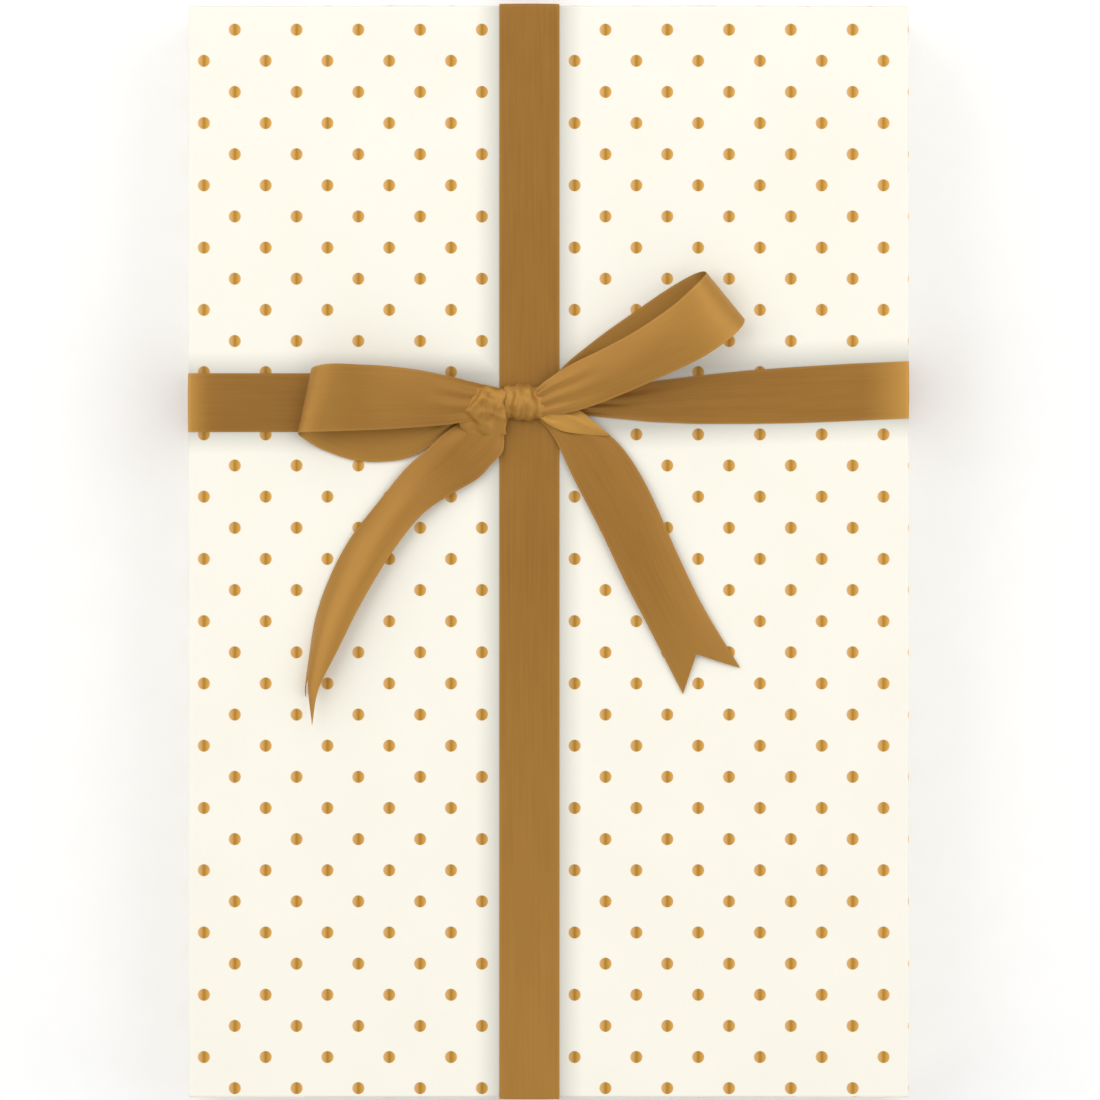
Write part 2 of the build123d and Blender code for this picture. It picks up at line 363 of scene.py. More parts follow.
selvedge = math_node(
    satin_tree,
    "DIVIDE",
    math_node(satin_tree, "SUBTRACT", from_middle, RIBBON_WIDTH / 2 - 1.0 * MM),
    0.3 * MM,
    clamp=True,
)
satin_edge = mix_colours(
    satin_tree, math_node(satin_tree, "MULTIPLY", selvedge, 0.35), satin_colour, (0.44, 0.22, 0.050)
)
# Painted light: each strip's stored value mixes in the painted highlight colour where it is above zero and the painted
# shade colour where it is below.
satin_painted_lightness = satin_tree.nodes.new("ShaderNodeAttribute")
satin_painted_lightness.attribute_name = "PaintedLightness"
painted_highlight_share = math_node(satin_tree, "MULTIPLY", satin_painted_lightness.outputs["Fac"], 0.9, clamp=True)
painted_shade_share = math_node(satin_tree, "MULTIPLY", satin_painted_lightness.outputs["Fac"], -0.9, clamp=True)
satin_with_painted_light = mix_colours(satin_tree, painted_highlight_share, satin_edge, SATIN_PAINTED_HIGHLIGHT)
satin_with_painted_light = mix_colours(satin_tree, painted_shade_share, satin_with_painted_light, SATIN_PAINTED_SHADE)
satin_tree.links.new(satin_with_painted_light, satin_shader.inputs["Base Color"])
satin_tree.links.new(
    math_node(satin_tree, "ADD", math_node(satin_tree, "MULTIPLY", streaks, 0.10), 0.36),
    satin_shader.inputs["Roughness"],
)
satin_shader.inputs["Metallic"].default_value = 0.30
satin_shader.inputs["Specular IOR Level"].default_value = 0.55
satin_shader.inputs["Specular Tint"].default_value = (1.0, 0.80, 0.50, 1)
satin_shader.inputs["Sheen Weight"].default_value = 0.22
satin_shader.inputs["Sheen Roughness"].default_value = 0.35
satin_shader.inputs["Sheen Tint"].default_value = (1.0, 0.78, 0.42, 1)
threads = satin_tree.nodes.new("ShaderNodeTexWave")
threads.wave_type = "BANDS"
threads.bands_direction = "Y"
threads.inputs["Scale"].default_value = 0.5 * math.pi / 10 / THREAD_PITCH
threads.inputs["Distortion"].default_value = 0.6
threads.inputs["Detail"].default_value = 1.0
satin_tree.links.new(satin_uv.outputs[0], threads.inputs["Vector"])
thread_bump = bump_node(satin_tree, threads.outputs["Fac"], 0.12, 0.05 * MM)
satin_tree.links.new(bump_node(satin_tree, streaks, 0.15, 0.05 * MM, thread_bump), satin_shader.inputs["Normal"])
print("satin:", len(satin_tree.nodes), "nodes")

# %% [markdown]
# ### Tape and card
#
# Clear tape shows as a slight haze and a soft gloss over the paper, so it is mostly see-through.
# Box card is matt and grey-white, with small flecks and fibres.

# %% The tape and the box card
tape_finish, tape_tree, tape_shader = new_material("clear_tape")
tape_object = tape_tree.nodes.new("ShaderNodeTexCoord")
tape_haze = noise_node(tape_tree, tape_object.outputs["Object"], 400.0, 4.0, 0.6)
tape_colour = ramp_node(tape_tree, tape_haze, ((0.3, (0.93, 0.93, 0.89)), (0.7, (0.97, 0.97, 0.93))))
tape_tree.links.new(tape_colour, tape_shader.inputs["Base Color"])
tape_tree.links.new(
    math_node(tape_tree, "ADD", math_node(tape_tree, "MULTIPLY", tape_haze, 0.10), 0.12),
    tape_shader.inputs["Roughness"],
)
tape_shader.inputs["Alpha"].default_value = 0.20
tape_tree.links.new(bump_node(tape_tree, tape_haze, 0.05, 0.03 * MM), tape_shader.inputs["Normal"])

card_finish, card_tree, card_shader = new_material("box_card")
card_object = card_tree.nodes.new("ShaderNodeTexCoord")
card_fibres = noise_node(card_tree, card_object.outputs["Object"], 700.0, 5.0, 0.65)
card_flecks = noise_node(card_tree, card_object.outputs["Object"], 150.0, 2.0)
card_colour = ramp_node(card_tree, card_flecks, ((0.35, (0.66, 0.65, 0.61)), (0.7, (0.76, 0.75, 0.71))))
card_tint = ramp_node(card_tree, card_fibres, ((0.3, (0.93, 0.93, 0.92)), (0.7, (1.0, 1.0, 1.0))))
card_tree.links.new(mix_colours(card_tree, 1.0, card_colour, card_tint, "MULTIPLY"), card_shader.inputs["Base Color"])
card_tree.links.new(
    math_node(card_tree, "ADD", math_node(card_tree, "MULTIPLY", card_fibres, 0.2), 0.62),
    card_shader.inputs["Roughness"],
)
card_tree.links.new(bump_node(card_tree, card_fibres, 0.25, 0.1 * MM), card_shader.inputs["Normal"])
print("tape and card finishes made")

# %% [markdown]
# ## The box
#
# The box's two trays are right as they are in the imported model: plain folded card. They keep
# their shapes and take the card finish.

# %% Finish the box
for name in ("box_base", "box_lid"):
    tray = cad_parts[name]
    tray.data.materials.clear()
    tray.data.materials.append(card_finish)
print("box trays finished")

# %% [markdown]
# ## The wrapping paper
#
# Gift wrap is one rectangle of paper. It goes once round the box with a lap underneath, and at
# each end its sides are tucked in first, then the front flap comes down and the underside flap
# goes up over it. A cut-out net of panels would leave gaps at the folds, so the whole rectangle
# starts as one flat grid whose lines crowd together at each fold. Every point is then carried to
# the box face that its place on the flat sheet belongs to.

# %% How the sheet is folded
DEPTH = FRONT - UNDERSIDE
FLAP = 48 * MM                       # how far the sheet reaches past each end
LAP_EDGE = 45 * MM                   # where the outer layer of the lap ends, underneath
LAP = 25 * MM
LAYER_STEP = 0.15 * MM               # from one folded layer to the next
EDGE_ROUND = 0.7 * MM                # radius of the folds along the box's edges
FRONT_SWELL = 0.16 * MM              # how much the paper rises between its folds
FLAP_SWELL = 0.09 * MM               # kept small, so that the end tapes stay in front of the flap
END_LAYERS = 4.85                    # room for the end flaps, counted in layers
END_FACE = HALF_LENGTH - END_LAYERS * LAYER_STEP
SHEET_LEFT = -(HALF_WIDTH + DEPTH + HALF_WIDTH + LAP_EDGE)
SHEET_RIGHT = HALF_WIDTH + DEPTH + HALF_WIDTH - (LAP_EDGE - LAP)


def steps_from_fold(length, step=6 * MM):
    """Distances from a fold: close together beside it, then evenly spaced up to length."""
    near = [0.35 * MM, 0.8 * MM, 1.4 * MM, 2.4 * MM]
    even = list(np.arange(step, length - 0.3 * step, step))
    return [0.0] + near + even + [length]


def panel(start, end, fold_at_start=True, fold_at_end=True):
    """Grid lines from start to end, crowded at the ends that are folds."""
    length = abs(end - start)
    direction = 1 if end > start else -1
    if fold_at_start and fold_at_end:
        half = steps_from_fold(length / 2)
        lines = half + [length - d for d in half[-2::-1]]
    elif fold_at_start:
        lines = steps_from_fold(length)
    else:
        lines = [length - d for d in steps_from_fold(length)[::-1]]
    return [start + direction * d for d in lines]


around_lines = (
    panel(SHEET_LEFT, -(HALF_WIDTH + DEPTH), fold_at_start=False)
    + panel(-(HALF_WIDTH + DEPTH), -HALF_WIDTH)[1:]
    + panel(-HALF_WIDTH, HALF_WIDTH)[1:]
    + panel(HALF_WIDTH, HALF_WIDTH + DEPTH)[1:]
    + panel(HALF_WIDTH + DEPTH, SHEET_RIGHT, fold_at_end=False)[1:]
)
along_lines = (
    panel(-END_FACE - FLAP, -END_FACE, fold_at_start=False)
    + panel(-END_FACE, END_FACE)[1:]
    + panel(END_FACE, END_FACE + FLAP, fold_at_end=False)[1:]
)
print("grid lines:", len(around_lines), "round the box,", len(along_lines), "along it")


# %% Where a point of the flat sheet goes
def round_the_box(u):
    """A place round the box: x, z, the panel, and how far in from that panel's nearer fold."""
    side = 1 if u >= 0 else -1
    reach = abs(u)
    if reach <= HALF_WIDTH:
        return u, FRONT, "front", HALF_WIDTH - reach
    if reach <= HALF_WIDTH + DEPTH:
        return side * HALF_WIDTH, FRONT - (reach - HALF_WIDTH), "side", 0.0
    inward = reach - HALF_WIDTH - DEPTH
    return side * (HALF_WIDTH - inward), UNDERSIDE, "under", inward


def ease(value):
    """Zero to one, starting and ending gently."""
    value = min(max(value, 0.0), 1.0)
    return value * value * (3 - 2 * value)


def fold_point(u, v):
    """Carry one point of the flat sheet to the wrapped box."""
    side = 1 if u >= 0 else -1
    end = 1 if v >= 0 else -1
    x, z, face, inward = round_the_box(u)
    beyond = max(abs(v) - END_FACE, 0.0)
    layer = 0.0
    y = v
    if beyond > 0:
        y = end * END_FACE
        if face == "side":
            x, level = side * (HALF_WIDTH - beyond), 0
        elif face == "front":
            level = 2 if inward > beyond + 1e-7 else 1
            if inward < beyond:
                x, z = side * (HALF_WIDTH - beyond), FRONT - inward
            else:
                z = FRONT - beyond
        else:
            level = 4 if inward > beyond + 1e-7 else 3
            if inward < beyond:
                x, z = side * (HALF_WIDTH - beyond), UNDERSIDE + inward
            else:
                z = UNDERSIDE + beyond
        layer = level * LAYER_STEP * ease(beyond / (3 * MM))
    if face == "under" and side > 0 and x < LAP_EDGE + 3 * MM:
        layer -= 1.6 * LAYER_STEP * ease((LAP_EDGE + 3 * MM - x) / (3 * MM))
    middle = Vector((0, 0, (FRONT + UNDERSIDE) / 2))
    core = Vector((HALF_WIDTH, END_FACE, DEPTH / 2)) - Vector((EDGE_ROUND,) * 3)
    point = Vector((x, y, z)) - middle
    nearest = Vector([max(-c, min(c, p)) for p, c in zip(point, core)])
    outward = (point - nearest).normalized()
    swell = 0.0
    if beyond == 0 and face != "under":
        from_fold = min(inward if face == "front" else 10 * MM, END_FACE - abs(v))
        waves = noise.noise(Vector((u * 14, v * 14, 3))) + 0.5 * noise.noise(Vector((u * 41, v * 33, 8)))
        swell = FRONT_SWELL * (waves + 0.9) * ease(from_fold / (12 * MM))
        near_long = abs(x - LONG_X) - RIBBON_WIDTH / 2
        near_cross = abs(y - (CROSS_LEFT_Y + CROSS_RIGHT_Y) / 2) - RIBBON_WIDTH / 2 - 3 * MM
        swell *= ease(min(near_long, near_cross) / (9 * MM))
    elif beyond > 12 * MM and face != "side" and inward > beyond:
        swell = FLAP_SWELL * ease((beyond - 12 * MM) / (FLAP - 12 * MM))
        swell *= 0.6 + noise.noise(Vector((u * 9, 1, z * 9)))
        swell = max(swell, 0.0) * (1 if level == 4 else 0.2)
    return middle + nearest + outward * (EDGE_ROUND + layer + swell)


def crease_share(u, v):
    """How worn the paper is here: one on a fold, fading out within a millimetre and a half."""
    folds = [abs(abs(u) - HALF_WIDTH), abs(abs(u) - HALF_WIDTH - DEPTH), abs(abs(v) - END_FACE)]
    return max(0.0, 1 - min(folds) / (1.5 * MM))


# %% Fold the sheet
bpy.ops.object.select_all(action="DESELECT")
bpy.ops.mesh.primitive_grid_add(
    x_subdivisions=len(around_lines) - 1, y_subdivisions=len(along_lines) - 1, size=1.0
)
paper = begin("wrapping_paper")
flat = vertex_array(paper)
column = np.rint((flat[:, 0] + 0.5) * (len(around_lines) - 1)).astype(int)
row = np.rint((flat[:, 1] + 0.5) * (len(along_lines) - 1)).astype(int)
flat[:, 0] = np.array(around_lines)[column]
flat[:, 1] = np.array(along_lines)[row]
put_vertices(paper, flat)

net = bmesh.new()
net.from_mesh(paper.data)
split = 0
for face in list(net.faces):
    if min(abs(v.co.y) for v in face.verts) < END_FACE - 1e-7:
        continue
    on_crease = []
    for vertex in face.verts:
        x, z, part, inward = round_the_box(vertex.co.x)
        if part != "side" or abs(inward) < 1e-9:
            gap = inward - (abs(vertex.co.y) - END_FACE)
            if abs(gap) < 1e-6:
                on_crease.append(vertex)
    if len(on_crease) == 2 and not any(set(on_crease) == set(edge.verts) for edge in face.edges):
        bmesh.utils.face_split(face, *on_crease)
        split += 1
net.to_mesh(paper.data)
net.free()
print("cells split along the slanting folds:", split)

flat = vertex_array(paper)
sheet_map = paper.data.uv_layers.get("Sheet") or paper.data.uv_layers.new(name="Sheet")
for extra in [layer.name for layer in paper.data.uv_layers if layer.name != "Sheet"]:
    paper.data.uv_layers.remove(paper.data.uv_layers[extra])
sheet_map = paper.data.uv_layers["Sheet"]
corner_vertex = np.zeros(len(paper.data.loops), int)
paper.data.loops.foreach_get("vertex_index", corner_vertex)
sheet_map.data.foreach_set("uv", flat[corner_vertex, :2].ravel())
wear = paper.data.attributes.new("Crease", "FLOAT", "POINT")
wear.data.foreach_set("value", [crease_share(u, v) for u, v, _ in flat])
put_vertices(paper, [fold_point(u, v) for u, v, _ in flat])
apply_modifier(paper, "SOLIDIFY", thickness=PAPER_THICKNESS, offset=-1)
only(paper)
bpy.ops.object.shade_smooth_by_angle(angle=math.radians(50))
paper.data.materials.append(paper_finish)
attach(paper, "package")
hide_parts("paper_sleeve", "paper_far_end_fold", "paper_near_end_fold")
print("wrapping paper:", len(paper.data.polygons), "faces")

# %% [markdown]
# ## Laying a ribbon
#
# A ribbon is a strip with a left and a right edge. Bending a flat strip with a Curve modifier
# keeps it from narrowing into a knot or fanning out of one, so each strip here is a flat grid
# whose rows are laid between two edge lines. The rows may be crowned, or pleated where the
# strip is bunched. The flat strip's UV map stays in metres, so its threads keep their size.


# %% The ribbon helper
def through(stations, spacing):
    """Smooth, evenly spaced rows through a few given ones."""
    rows = np.array(stations, float)
    padded = np.vstack([2 * rows[0] - rows[1], rows, 2 * rows[-1] - rows[-2]])
    fine = []
    for p0, p1, p2, p3 in zip(padded, padded[1:], padded[2:], padded[3:]):
        for t in np.linspace(0, 1, 40, endpoint=False):
            squared = (2 * p0 - 5 * p1 + 4 * p2 - p3) * t**2
            cubed = (3 * p1 - p0 - 3 * p2 + p3) * t**3
            fine.append(0.5 * (2 * p1 + (p2 - p0) * t + squared + cubed))
    fine.append(rows[-1])
    fine = np.array(fine)
    middle = (fine[:, :3] + fine[:, 3:6]) / 2
    travelled = np.concatenate([[0], np.cumsum(np.linalg.norm(np.diff(middle, axis=0), axis=1))])
    even = np.linspace(0, travelled[-1], max(int(travelled[-1] / spacing), 4) + 1)
    return np.array([np.interp(even, travelled, fine[:, k]) for k in range(fine.shape[1])]).T


# Vector noise takes its offsets from the clock unless it has a seed, and then each run would
# crumple the bow in another way.
noise.seed_set(3)


def lay_ribbon(name, rows, cells=20, pleats=0, notch=0.0, crumple=0.0, flip=False, seed=0, raised=False, twist=0.0):
    """Lay a strip along rows of (edge A, edge B, crown, pleat height, painted lightness), in metres."""
    count = len(rows) - 1
    bpy.ops.object.select_all(action="DESELECT")
    bpy.ops.mesh.primitive_grid_add(x_subdivisions=cells, y_subdivisions=count, size=1.0)
    strip = begin(name)
    flat = vertex_array(strip)
    share = flat[:, 0] + 0.5
    order = (flat[:, 1] + 0.5) * count
    middle = (rows[:, :3] + rows[:, 3:6]) / 2
    travelled = np.concatenate([[0], np.cumsum(np.linalg.norm(np.diff(middle, axis=0), axis=1))])
    across = rows[:, 3:6] - rows[:, :3]
    onward = np.gradient(middle, axis=0)
    outward = np.cross(across, onward)
    outward /= np.maximum(np.linalg.norm(outward, axis=1), 1e-12)[:, None]
    if flip:
        outward = -outward
    if notch:
        order = order * (1 - notch / travelled[-1] * (1 - np.abs(2 * share - 1)))
    steps = np.arange(count + 1)

    def at(values):
        return np.array([np.interp(order, steps, values[:, k]) for k in range(values.shape[1])]).T

    here = at(rows)
    normal = at(outward)
    bow = here[:, 6] * (1 - (2 * share - 1) ** 2)
    along = np.interp(order, steps, travelled)
    wander = np.array([noise.noise(Vector((a * 70, seed, 2.0))) for a in along])
    turn = 2 * math.pi * pleats * share + 2.2 * wander + seed + twist * order / count
    pleat = here[:, 7] * (np.cos(turn) + (1 if raised else 0))
    places = here[:, :3] + (here[:, 3:6] - here[:, :3]) * share[:, None] + normal * (bow + pleat)[:, None]
    if crumple:
        for index, (place, size) in enumerate(zip(places, here[:, 7])):
            point = Vector(place) * 260 + Vector((seed, 0, 0))
            places[index] += np.array(noise.noise_vector(point)) * crumple * min(abs(size) / (0.6 * MM), 1.0)
    put_vertices(strip, places)
    # The rows' last number is kept for the satin's painted highlight and painted shade.
    painted_lightness = strip.data.attributes.new("PaintedLightness", "FLOAT", "POINT")
    painted_lightness.data.foreach_set("value", here[:, 8])
    sheet_map = strip.data.uv_layers[0]
    sheet_map.name = "Sheet"
    corner_vertex = np.zeros(len(strip.data.loops), int)
    strip.data.loops.foreach_get("vertex_index", corner_vertex)
    mapped = np.stack([(share - 0.5) * RIBBON_WIDTH, along], axis=1)
    sheet_map.data.foreach_set("uv", mapped[corner_vertex].ravel())
    if flip:
        only(strip)
        bpy.ops.object.mode_set(mode="EDIT")
        bpy.ops.mesh.select_all(action="SELECT")
        bpy.ops.mesh.flip_normals()
        bpy.ops.object.mode_set(mode="OBJECT")
    apply_modifier(strip, "SOLIDIFY", thickness=RIBBON_THICKNESS, offset=0)
    only(strip)
    bpy.ops.object.shade_smooth_by_angle(angle=math.radians(60))
    strip.data.materials.append(satin_finish)
    print(f"{name}: {travelled[-1] / MM:.0f} mm of ribbon, {len(strip.data.polygons)} faces")
    return strip, travelled[-1]


def bent_route(corners, radius, spacing):
    """Points along a line with rounded corners, close together where it bends."""
    corners = [np.array(c, float) for c in corners]
    route = [corners[0]]
    for before, corner, after in zip(corners, corners[1:], corners[2:]):
        into = (corner - before) / np.linalg.norm(corner - before)
        away = (after - corner) / np.linalg.norm(after - corner)
        for t in np.linspace(0, 1, 7):
            route.append(
                (1 - t) ** 2 * (corner - into * radius) + 2 * t * (1 - t) * corner + t**2 * (corner + away * radius)
            )
    route.append(corners[-1])
    points = [route[0]]
    for start, end in zip(route, route[1:]):
        pieces = max(int(np.linalg.norm(end - start) / spacing), 1)
        points += [start + (end - start) * (k + 1) / pieces for k in range(pieces)]
    return np.array(points)


# %% [markdown]
# ## The ribbon round the box
#
# One ribbon runs the long way round and one across. Both are pulled tight, so they lie on the
# paper and turn over the box's edges with a small radius. Where the two cross underneath, the
# long one passes below the cross one.

# %% The long ribbon
HALF = RIBBON_THICKNESS / 2
LIE = HALF + 0.03 * MM               # a ribbon's middle above what it lies on
END_LIE = HALF_LENGTH + LIE
CROSS_DIP = 0.3 * MM
long_corners = [
    (LONG_X, CROSS_RIGHT_Y - 1 * MM, FRONT + LIE),
    (LONG_X, END_LIE, FRONT + LIE),
    (LONG_X, END_LIE, UNDERSIDE - LIE),
    (LONG_X, CROSS_LEFT_Y + 20 * MM, UNDERSIDE - LIE),
    (LONG_X, CROSS_LEFT_Y + 14 * MM, UNDERSIDE - LIE - CROSS_DIP),
    (LONG_X, CROSS_LEFT_Y - 14 * MM, UNDERSIDE - LIE - CROSS_DIP),
    (LONG_X, CROSS_LEFT_Y - 20 * MM, UNDERSIDE - LIE),
    (LONG_X, -END_LIE, UNDERSIDE - LIE),
    (LONG_X, -END_LIE, FRONT + LIE),
    (LONG_X, CROSS_RIGHT_Y - 1.2 * MM, FRONT + LIE),
]
long_route = bent_route(long_corners, 1.2 * MM, 3 * MM)
aside = np.array([RIBBON_WIDTH / 2, 0, 0])
crown = np.full((len(long_route), 1), 0.14 * MM)
long_on_top = long_route[:, 2] > FRONT - 2 * MM
# A painted highlight: on the front, the long ribbon is painted lighter towards the near end.
long_painted_lightness = 0.30 * np.clip(-long_route[:, 1] / HALF_LENGTH, 0, 1) * long_on_top
long_rows = np.hstack([long_route - aside, long_route + aside, crown, crown * 0, long_painted_lightness[:, None]])
long_ribbon, long_length = lay_ribbon("long_ribbon", long_rows)
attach(long_ribbon, "package")
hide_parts("long_ribbon_top", "long_ribbon_bottom", "long_ribbon_far_end", "long_ribbon_near_end")

# %% The cross ribbon
SIDE_LIE = HALF_WIDTH + LIE
OVER = 0.3 * MM                      # the long ribbon's thickness, which the cross one climbs
cross_corners = [
    (KNOT.x - 5 * MM, 0, FRONT + LIE + OVER + 0.7 * MM),
    (LONG_X - 14 * MM, 0, FRONT + LIE + OVER),
    (LONG_X - 22 * MM, 0, FRONT + LIE),
    (-SIDE_LIE, 0, FRONT + LIE),
    (-SIDE_LIE, 0, UNDERSIDE - LIE),
    (SIDE_LIE, 0, UNDERSIDE - LIE),
    (SIDE_LIE, 0, FRONT + LIE),
    (LONG_X + 22 * MM, 0, FRONT + LIE),
    (LONG_X + 14 * MM, 0, FRONT + LIE + OVER),
    (KNOT.x + 7 * MM, 0, FRONT + LIE + OVER + 0.7 * MM),
]
cross_route = bent_route(cross_corners, 1.2 * MM, 3 * MM)
cross_travel = np.concatenate([[0], np.cumsum(np.linalg.norm(np.diff(cross_route, axis=0), axis=1))])
left_run = KNOT.x - 5 * MM + SIDE_LIE
underneath = left_run + DEPTH
right_edge = underneath + 2 * SIDE_LIE + DEPTH
# Distance along the ribbon, its centre line's y, and half its width, at a few places.
LANE = np.array(
    [
        (0, KNOT.y - 1.5 * MM, 4.0 * MM),
        (12 * MM, KNOT.y - 1.0 * MM, 6.5 * MM),
        (25 * MM, CROSS_LEFT_Y, 11.0 * MM),
        (40 * MM, CROSS_LEFT_Y, 12.2 * MM),
        (left_run, CROSS_LEFT_Y, 12.2 * MM),
        (underneath, CROSS_LEFT_Y, RIBBON_WIDTH / 2),
        (underneath + 2 * SIDE_LIE, CROSS_RIGHT_Y, RIBBON_WIDTH / 2),
        (right_edge, CROSS_RIGHT_Y - 0.2 * MM, 11.9 * MM),
        (right_edge + 23 * MM, CROSS_RIGHT_Y - 1.2 * MM, 11.9 * MM),
        (right_edge + 45 * MM, CROSS_RIGHT_Y - 2.3 * MM, 11.7 * MM),
        (right_edge + 66 * MM, CROSS_RIGHT_Y - 3.2 * MM, 11.1 * MM),
        (right_edge + 87 * MM, CROSS_RIGHT_Y - 4.3 * MM, 10.0 * MM),
        (right_edge + 105 * MM, CROSS_RIGHT_Y - 5.2 * MM, 8.4 * MM),
        (right_edge + 122 * MM, CROSS_RIGHT_Y - 6.0 * MM, 6.0 * MM),
        (right_edge + 140 * MM, CROSS_RIGHT_Y - 6.5 * MM, 3.6 * MM),
        (right_edge + 155 * MM, KNOT.y - 1.0 * MM, 3.5 * MM),
    ]
)
lane_y = np.interp(cross_travel, LANE[:, 0], LANE[:, 1])
lane_half = np.interp(cross_travel, LANE[:, 0], LANE[:, 2])
edge_a, edge_b = cross_route.copy(), cross_route.copy()
edge_a[:, 1] = lane_y + lane_half
edge_b[:, 1] = lane_y - lane_half
narrowed = np.clip(1 - lane_half / (RIBBON_WIDTH / 2), 0, 1)
bunch = np.where(narrowed > 0.05, narrowed * 0.45 * MM, 0)
on_top = cross_route[:, 2] > FRONT - 2 * MM
# A painted highlight on the front near the box's side edges, where the ribbon turns over them, and a painted shade
# along the rest of the left run on the front.
to_edge = np.where(on_top, SIDE_LIE - np.abs(cross_route[:, 0]), 40 * MM)
edge_painted_lightness = np.where(
    cross_route[:, 0] < 0,
    0.95 * np.clip(1 - to_edge / (14 * MM), 0, 1) ** 1.6 - 0.22 * on_top,
    0.85 * np.clip(1 - to_edge / (20 * MM), 0, 1) ** 1.4,
)
cross_rows = np.hstack([edge_a, edge_b, np.full((len(lane_y), 1), 0.14 * MM), bunch[:, None], edge_painted_lightness[:, None]])
cross_ribbon, cross_length = lay_ribbon("cross_ribbon", cross_rows, pleats=3, flip=True, raised=True)
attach(cross_ribbon, "package")
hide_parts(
    "cross_ribbon_left_top",
    "cross_ribbon_right_top",
    "cross_ribbon_left_side",
    "cross_ribbon_right_side",
    "cross_ribbon_bottom",
)

# %% [markdown]
# ## The bow
#
# The bow has two loops and two tails. Each loop leaves the knot low, turns over at its far end
# and comes back on top, fanned a little to one side. Each tail fans out of the knot, and ends in
# a V cut. Every row below says where a strip's two edges are, measured from the knot's centre
# and up from the front of the parcel.


# %% Rows measured from the knot
def from_knot(stations, spacing=1.5 * MM):
    """Rows of (A x, y, z, B x, y, z, crown, pleat, painted lightness) from the knot, in mm, made dense."""
    rows = np.array(stations, float)
    rows[:, :8] *= MM
    origin = np.array([KNOT.x, KNOT.y, FRONT])
    rows[:, :3] += origin
    rows[:, 3:6] += origin
    return through(rows, spacing)


# %% The left loop
# The last number in each row of the bow's tables is a painted highlight on the satin.
LEFT_LOOP = [
    # edge A: x, y, z      edge B: x, y, z    crown pleat painted-lightness
    (-7.0, 3.5, 1.4, -7.0, -3.5, 1.4, 0.0, 0.5, 0.0),
    (-16.0, 4.0, 1.2, -16.0, -6.0, 1.2, 0.0, 0.6, 0.0),
    (-29.0, 4.0, 1.2, -28.5, -11.0, 1.2, 0.0, 0.4, 0.2),
    (-44.0, 2.5, 1.2, -46.0, -22.0, 1.2, 0.0, 0.0, 0.25),
    (-58.0, 1.0, 1.2, -58.5, -24.6, 1.2, 0.0, 0.0, 0.25),
    (-69.0, 2.0, 1.2, -71.5, -23.9, 1.2, 0.0, 0.0, 0.3),
    (-79.0, 7.5, 1.6, -84.5, -19.4, 1.6, 0.0, 0.0, 0.35),
    (-86.2, 11.8, 4.6, -91.6, -15.2, 3.4, 0.0, 0.0, 0.4),
    (-88.6, 13.4, 8.9, -94.2, -13.0, 6.6, 0.0, 0.0, 0.4),
    (-86.6, 14.9, 13.4, -91.6, -12.4, 10.0, 0.0, 0.0, 0.35),
    (-80.0, 15.9, 16.2, -83.5, -12.2, 11.4, 0.6, 0.0, 0.22),
    (-70.0, 15.6, 16.6, -71.0, -11.8, 10.8, 1.3, 0.0, 0.12),
    (-57.0, 14.9, 15.2, -57.0, -11.2, 9.6, 1.6, 0.0, 0.18),
    (-43.0, 13.2, 12.4, -43.0, -10.2, 8.4, 1.5, 0.0, 0.10),
    (-30.0, 10.6, 9.2, -30.0, -9.0, 7.2, 1.0, 0.3, 0.02),
    (-19.0, 7.8, 6.4, -19.0, -7.0, 5.8, 0.6, 0.4, 0.0),
    (-10.0, 5.6, 4.6, -10.0, -5.5, 4.6, 0.4, 0.5, 0.0),
    (-5.0, 4.4, 3.6, -5.0, -4.4, 3.6, 0.2, 0.4, 0.0),
]
left_loop, left_loop_length = lay_ribbon("left_loop", from_knot(LEFT_LOOP), pleats=3, crumple=0.25 * MM, seed=1)

# %% The right loop
RIGHT_LOOP = [
    (7.0, 4.5, 1.6, 9.0, -3.5, 1.6, 0.0, 0.4, 0.0),
    (16.0, 15.0, 1.6, 24.0, 0.0, 1.6, 0.0, 0.3, 0.1),
    (31.5, 27.6, 1.6, 42.0, 8.5, 1.6, 0.0, 0.0, 0.2),
    (46.0, 37.9, 1.6, 57.5, 15.0, 1.6, 0.0, 0.0, 0.25),
    (58.0, 46.2, 1.6, 70.5, 22.5, 1.6, 0.0, 0.0, 0.25),
    (68.2, 52.3, 2.2, 82.5, 29.5, 2.2, 0.0, 0.0, 0.2),
    (73.6, 54.4, 5.4, 89.4, 34.0, 5.4, 0.0, 0.0, 0.2),
    (75.6, 53.8, 9.9, 91.4, 34.4, 9.9, 0.0, 0.0, 0.3),
    (74.4, 52.0, 14.4, 90.0, 31.0, 14.6, 0.0, 0.0, 0.42),
    (70.4, 47.8, 17.4, 84.4, 25.6, 17.6, 0.5, 0.0, 0.42),
    (60.6, 39.2, 17.8, 73.0, 18.0, 17.8, 1.0, 0.0, 0.3),
    (46.5, 29.6, 15.6, 57.5, 10.6, 15.6, 1.4, 0.0, 0.2),
    (32.0, 21.8, 12.0, 41.0, 3.4, 12.0, 1.4, 0.0, 0.18),
    (19.0, 15.6, 8.6, 28.0, -1.6, 8.2, 1.1, 0.2, 0.22),
    (10.0, 9.8, 6.2, 16.5, -4.6, 5.8, 0.9, 0.35, 0.2),
    (4.5, 5.6, 4.2, 6.0, -5.4, 4.2, 0.4, 0.35, 0.1),
]
right_loop, right_loop_length = lay_ribbon(
    "right_loop", from_knot(RIGHT_LOOP), pleats=3, crumple=0.2 * MM, flip=True, seed=2
)

